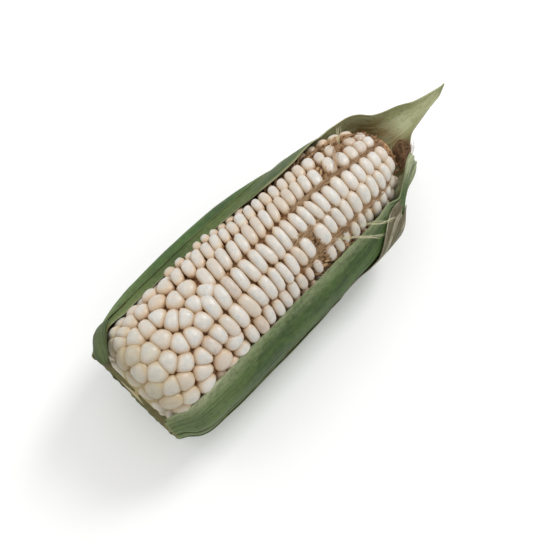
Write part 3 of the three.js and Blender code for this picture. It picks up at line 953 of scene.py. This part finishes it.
def collar(name, material, first, last, seed):
    """The stub of a leaf's base left round the knife cut, from one angle to another: a
    short strip that thins out to both ends as a root of a sine does. On the +Y side it
    runs on towards the tip, close to the kernels."""
    steps = np.linspace(0, 1, 14), np.linspace(first, last, 120)
    s, angle = np.meshgrid(*steps, indexing="ij")
    t = (angle - first) / (last - first)
    body = np.sin(np.pi * t) ** 0.4
    low = -1.3 * body + 0.5 * rough(angle / 9, 0.5, seed) * body
    high = 0.7 * body + 0.5 * rough(angle / 7, 3.5, seed) * body + 0.1
    x = mix(low, high + 13 * ramp(angle, -38, -64), s)
    radius = COLLAR_RADIUS - ramp(x, 1, -1.5) + 0.35 * rough(angle / 12, s, seed + 1)
    radius = mix(radius, ear_radius(x) + 1.3 + 0.2 * np.sin(angle), ramp(x, 0.8, 5))
    faces_at = [around(x, radius - inset, angle).reshape(-1, 3) for inset in (0, COLLAR_THICKNESS)]
    marks = {
        "vein": np.abs(np.sin(np.radians(angle) * 9)) ** 3,
        "margin": np.exp(-((np.minimum(s, 1 - s) / 0.12) ** 2)),
        "cut": ramp(x, 0, -1) * 0.6,
        "base": ramp(x, 2, 6),
        "stain": 0.5 * ramp(x, 5, 2),
    }
    sheet_piece(name, faces_at, (angle * 0.4, x), material, [], marks)


LOBE_RINGS, LOBE_COLUMNS = 90, 48


def rolled_lobe(name, material, course, wide, thick, seed):
    """A leaf's torn end rolled up beside the base: an oval carried along a course of
    (x, angle, radius), blunt at both ends and finely ridged along its length."""
    rows, columns = LOBE_RINGS, LOBE_COLUMNS
    turns = np.arange(columns) * FULL_TURN / columns
    t, a = np.meshgrid(np.linspace(0, 1, rows), turns, indexing="ij")
    x, angle, radius = follow(course, t)
    turn = np.radians(angle)
    centre = around(x, radius, angle)
    outward = np.stack([0 * x, -np.sin(turn), np.cos(turn)], -1)
    ahead = np.gradient(centre, axis=0)
    ahead /= np.linalg.norm(ahead, axis=-1, keepdims=True)
    across = np.cross(outward, ahead)
    ridge = np.abs(np.sin(6 * a + 0.8 * rough(t * 5, 0 * t, seed))) ** 2
    size = np.sin(np.pi * np.clip(t, 0.003, 0.997)) ** 0.45
    size = size * (1 + 0.06 * ridge + 0.1 * rough(t * 5, 0.5 + 0 * t, seed + 1))
    shell = (
        centre
        + across * (wide * size * np.cos(a))[..., None]
        + outward * (thick * size * np.sin(a))[..., None]
    )
    rim = np.arange(columns)[None]
    faces = [grid_faces(rows, columns, closed=True), rim[:, ::-1], rim + (rows - 1) * columns]
    uv = np.stack([(a * 3).ravel(), (t * 26).ravel()], -1)
    marks = {"vein": (ridge * 0.6).ravel()}
    piece(name, shell.reshape(-1, 3), faces, material, [], marks, uv)


def lobe(x, angle):
    """The cut end of the outer leaf on the +Y side: a little past the knife cut, then
    rounded off up to its margin."""
    return x - 1.2 * ramp(angle, 254, 268) + 7.5 * ramp(angle, 271, 293) ** 2


def hood_stain(x, angle):
    """A brown patch low in the hood."""
    return 0.9 * ramp(x, 160, 172) * ramp(x, 192, 178) * ramp(angle, 272, 250) + 0.1


def pale_margin(x, angle):
    """The soft whitish margin of the inner leaf by the butt, partly its own pale edge and partly
    painted light on the leaf's lit upper edge, and its pale torn tip.
    """
    margin = 0.5 * ramp(angle, 80, 66) * ramp(x, 4, 20)
    return np.maximum(margin, ramp(x, 56, 30) * ramp(angle, 80, 62)) + 0.6 * ramp(x, 154, 164)


def husk():
    """All leaves, each with its layer, its end and its -Y and +Y margins as x and angle,
    then the rolled lobe and the stubs at the cut."""
    names = ("husk_green", "husk_outer_green", "husk_rim", "husk_rolled")
    green, outer, rim, rolled = (husk_skin(name) for name in names)
    # The inner green leaf's wide pale margin is partly its own paler edge and partly painted light
    # on its lit upper edge.
    inner, olive = (husk_skin(name, edge_share=0.6) for name in ("husk_inner_green", "husk_olive"))
    dry = husk_skin("husk_dry", dryness=0.8)
    leaf("leaf_outer_under", outer, 0, 150, along((0, 120), (80, 119), (150, 152)),
         along((0, 240), (80, 241), (150, 206)), stand_off, 21, tear=8)
    leaf("leaf_outer_right", outer, 1, 140,
         along((0, 98), (20, 106), (110, 108), (140, 128)), along((0, 199), (60, 198), (140, 164)),
         curve_back, 32, tear=6, tuck=(1.9, 0), crumple=0.3)
    leaf("leaf_outer_left", green, 1, 158, along((0, 206), (100, 206), (158, 224)),
         along((0, 293), (92, 293), (130, 279), (158, 236)), rolled_end, 43, tear=5, start=lobe,
         tuck=(0, 0.8))
    leaf("leaf_hood", olive, 2, 219,
         along((0, 144), (150, 142), (170, 132), (182, 108), (206, 98), (212, 150), (219, 236)),
         along((0, 303), (20, 300), (45, 299), (66, 300), (84, 305), (97, 312), (110, 316),
               (122, 318), (130, 314), (140, 303), (150, 292), (158, 284), (165, 280),
               (172, 279), (182, 271), (193, 264), (201, 257), (210, 254), (219, 252)),
         curve_back, 54, tear=0.5, tuck=(0, 1.4), stain=hood_stain)
    leaf("leaf_withered", dry, 2, 150,
         along((0, 110), (102, 110), (120, 97), (133, 80), (141, 72), (150, 74)),
         along((0, 139), (120, 138), (150, 122)), curve_back, 65, tear=9, crumple=0.9, ripple=0.5)
    leaf("leaf_inner_right", inner, 3, 170,
         along((0, 66), (9, 67), (20, 65), (60, 67), (115, 68), (130, 66), (140, 66), (149, 75),
               (155, 64), (160, 52), (165, 46), (170, 52)),
         along((0, 191), (70, 186), (168, 108)), curve_back, 76, tear=4, crumple=0.8, ripple=0.22,
         tuck=(2.0, 0), stain=pale_margin)
    leaf("leaf_inner_under", olive, 4, 172,
         along((0, 100), (120, 98), (158, 90), (172, 96)), along((0, 200), (120, 196), (172, 136)),
         curve_back, 87, tear=4)
    course = [(17, -74, 30), (10, -66, 29.4), (5, -50, 28.2), (1, -34, 26.4), (-0.5, -25, 25)]
    rolled_lobe("husk_lobe", rolled, course, 3.3, 2.4, 95)
    collar("collar_left", rim, -104, 16, 91)
    collar("collar_right", rim, 21, 82, 92)


# ---- silk ----
# The points of every thread, from 0 at one end to 1 at the other.
THREAD = np.linspace(0, 1, 16)[None]
# A thread's section is turned from this direction, along which no thread runs.
SECTION_GUIDE = [0.31, 0.22, 0.93]
TABLE_GAP = 0.1


def swinging(random, count, slowest, fastest):
    """A sine along each thread, of its own speed and start."""
    speed = random.uniform(slowest, fastest, (count, 1))
    return np.sin(THREAD * speed + random.uniform(0, 6, (count, 1)))


def threads(random, name, material, nodes, thin, thick, *bundles):
    """Threads carried along paths, arrays of threads x points x 3: a square section across
    the path's direction at each point, thinning to both ends."""
    paths = np.concatenate(bundles)
    count, points, _ = paths.shape
    radius = random.uniform(thin, thick, count)
    forward = np.gradient(paths, axis=1)
    forward /= np.linalg.norm(forward, axis=-1, keepdims=True) + 1e-9
    side = np.cross(forward, SECTION_GUIDE)
    side /= np.linalg.norm(side, axis=-1, keepdims=True) + 1e-9
    other = np.cross(forward, side)
    corner = np.arange(4) * np.pi / 2
    ring = side[:, :, None] * np.cos(corner)[:, None] + other[:, :, None] * np.sin(corner)[:, None]
    size = radius[:, None] * (0.35 + 0.65 * np.sin(np.pi * THREAD) ** 0.5)
    shell = (paths[:, :, None] + ring * size[..., None, None]).reshape(-1, 3)
    shell[:, 2] = np.maximum(shell[:, 2], TABLE_GAP)
    ends = np.array([[3, 2, 1, 0], [0, 1, 2, 3]])
    ends[1] += (points - 1) * 4
    one = np.concatenate([grid_faces(points, 4, closed=True), ends])
    faces = one[None] + (np.arange(count) * points * 4)[:, None, None]
    marks = {"along": np.tile(np.repeat(THREAD, 4), count)}
    piece(name, shell, [faces.reshape(-1, 4)], material, nodes, marks)


def groove_threads(random, count, place, from_x, to_x, spread, lift):
    """Threads that lie along a groove between two rows, wandering across it."""
    start = random.uniform(from_x, mix(from_x, to_x, 0.75), count)[:, None]
    stop = np.minimum(start + random.uniform(12, 34, count)[:, None], to_x + 6)
    x = mix(start, stop, THREAD)
    groove = (row_angle(place, x) + row_angle(place + 1, x)) / 2
    sway = random.uniform(-1, 1, (count, 1)) + 0.7 * swinging(random, count, 3, 9)
    height = random.normal(0, 0.5, (count, 1)) + lift
    height = height + 0.5 * np.sin(THREAD * random.uniform(5, 12, (count, 1)))
    return around(x, ear_radius(x) + height, groove + sway * spread)


def laid_threads(random, count, course, spread):
    """Loose threads side by side along a course of (x, angle, height over the kernels)."""
    x, angle, height = follow(course, THREAD)
    aside = random.normal(0, spread, (count, 1)) * (0.4 + THREAD)
    sway = 0.5 * swinging(random, count, 4, 9)
    x = x + aside + sway
    return around(x, ear_radius(x) + height + np.abs(aside) * 0.2, angle + aside * 0.8 - sway)


# The clump's middle, the half-axes of its ellipsoid and how far it is turned from x.
TUFT_MIDDLE = [170.6, -9.6, AXIS_HEIGHT + 1.0]
TUFT_SIZE = (8.6, 4.2, 3.2)
TUFT_TURN = np.radians(40)


def tuft_threads(random, count):
    """A matted clump: each thread winds over an ellipsoid by a slow turn and a tilt."""
    size = random.uniform(0.45, 1.0, (count, 1))
    size = size * mix(1, random.uniform(0.8, 1.5, (count, 1)), THREAD**3)
    a = random.uniform(0, 6.28, (count, 1)) + THREAD * random.normal(0, 2.0, (count, 1))
    b = random.uniform(-1.2, 1.2, (count, 1)) + THREAD * random.normal(0, 1.2, (count, 1))
    x = TUFT_SIZE[0] * np.cos(a) * np.cos(b) * size
    y = (TUFT_SIZE[1] + 0.26 * x) * np.sin(a) * np.cos(b) * size
    z = TUFT_SIZE[2] * np.sin(b) * size
    cos, sin = np.cos(TUFT_TURN), np.sin(TUFT_TURN)
    return np.stack([x * cos - y * sin, x * sin + y * cos, z], -1) + TUFT_MIDDLE


def silk():
    """Threads in the grooves, threads laid over the leaf's margin and by the hood, and the
    clump at the tip."""
    random = np.random.default_rng(77)
    tan = silk_skin("silk_tan", tone(196, 164, 126), tone(148, 112, 76))
    dark = silk_skin("silk_dark", tone(92, 64, 38), tone(150, 114, 76))
    pale = silk_skin("silk_pale", tone(206, 202, 158), tone(222, 214, 180))

    def laid(count, spread, *course):
        return laid_threads(random, count, course, spread)

    threads(
        random, "silk_upper", tan, ["silk_strands_upper"], 0.07, 0.14,
        groove_threads(random, 150, -0.5, 98, 156, 1.9, -2.3),
        laid(8, 0.9, (129, 1, -0.6), (134, -8, 0.2), (139, -17, 0.1), (144, -24, -1.2)),
        laid(4, 1.2, (139, -26, -0.2), (146, -33, 0.5), (152, -24, 0.3), (157, -16, 0.2)),
    )
    threads(
        random, "silk_lower", tan, ["silk_strands_lower"], 0.07, 0.14,
        groove_threads(random, 110, 0.5, 84, 116, 3.0, -2.4),
        groove_threads(random, 170, 1.5, 86, 146, 3.6, -2.6),
    )
    threads(
        random, "silk_loose", pale, [], 0.04, 0.1,
        laid(9, 0.8, (108, 48, -0.4), (113, 55, 1.4), (119, 63, 4.4), (126, 73, 6.6)),
        laid(8, 0.9, (120, 54, 0.2), (125, 60, 2.0), (130, 66, 4.4), (137, 72, 6.2)),
        laid(5, 0.5, (142, -21, -0.5), (144, -25, 1.5), (147, -30, 3.4), (149, -34, 5.0)),
    )
    threads(random, "silk_tip_tuft", dark, ["silk_tuft"], 0.05, 0.15, tuft_threads(random, 420))


# ---- the studio ----
# Radii of the table's rings, in metres.
TABLE_RINGS = np.array([0.2, 0.35, 0.5, 0.8, 1.2, 4.0])


def table():
    """A pale disc in rings. Where the camera sees it, it glows the more the farther it
    lies from the ear, so that it meets the surround without an edge."""
    s = Shader("table")
    speck = s.noise(s.places(), 0.02, 3)
    colour = s.blend((0.93, 0.93, 0.92, 1), (0.96, 0.96, 0.955, 1), speck)
    shine = s.blend((0.1, 0.1, 0.1, 1), (0.5, 0.5, 0.5, 1), s.mark("far"))
    glow = s.blend((0, 0, 0, 1), shine, s.ray("Camera"))
    skin = s.finish(Base_Color=colour, Roughness=0.7, Specular_IOR_Level=0.2,
                    Emission_Color=glow, Emission_Strength=1.0)
    turn = np.radians(np.arange(0, 360, 6))
    rim = np.stack([np.cos(turn), np.sin(turn), 0 * turn], -1)
    rings = (TABLE_RINGS[:, None, None] * rim).reshape(-1, 3)
    points = np.concatenate([[[0, 0, 0]], rings])
    count = len(turn)
    i = np.arange(count)
    middle = np.stack([0 * i, 1 + i, 1 + (i + 1) % count], -1)
    bands = grid_faces(len(TABLE_RINGS), count, start=1, closed=True)[:, ::-1]
    far = {"far": ramp(np.linalg.norm(points, axis=1), 0.35, 1.2)}
    in_scene("table", new_mesh("table", points, [middle, bands], skin, far))


def surround():
    """White all round, dimmer as a light than as it is seen."""
    s = Shader("surround", bpy.data.worlds)
    seen = {0: s.ray("Camera"), 1: s.ray("Glossy")}
    seen = s.node("ShaderNodeMath", {"operation": "MAXIMUM"}, seen)
    light = {"Color": (1, 1, 1, 1), "Strength": seen * 0.28 + 0.72}
    s.node("ShaderNodeOutputWorld", None, {"Surface": s.node("ShaderNodeBackground", None, light)})
    bpy.context.scene.world = s.owner


def aim(obj, place, target):
    """Puts a lamp or camera at a place with its -Z towards a target and its top up."""
    back = place - target
    back = back / np.linalg.norm(back)
    right = np.cross([0, 0, 1], back)
    right = right / np.linalg.norm(right)
    up = np.cross(back, right)
    matrix = np.eye(4)
    matrix[:3] = np.stack([right, up, back, place], axis=-1)
    obj.matrix_world = Matrix(matrix.tolist())


def lamp(place, size, power):
    """A square soft lamp that faces the middle of the ear. Metres and watts."""
    light = bpy.data.lights.new("soft_lamp", "AREA")
    light.size = size
    light.energy = power
    aim(in_scene("soft_lamp", light), np.array(place), np.array([0, 0, AXIS_HEIGHT * MM]))


def camera():
    """Looks down at the ear from beside its butt."""
    azimuth, elevation = np.radians([-47.13, 67.76])
    target = np.array([-26.05, -6.8, 35.5]) * MM
    distance = 350 * MM
    back = np.array([
        np.sin(azimuth) * np.cos(elevation),
        -np.cos(azimuth) * np.cos(elevation),
        np.sin(elevation),
    ])
    data = bpy.data.cameras.new("camera")
    data.sensor_width = 36
    data.angle = np.radians(39.63)
    data.clip_start = 0.01
    obj = in_scene("camera", data)
    aim(obj, target + back * distance, target)
    bpy.context.scene.camera = obj


bpy.context.scene.view_settings.view_transform = "Standard"
table()
surround()
lamp((0.65, 0.02, 0.8), 0.32, 4.3)
lamp((-0.4, 0.6, 0.7), 0.6, 1.0)
camera()
cob()
chaff_scales()
kernels()
husk()
silk()
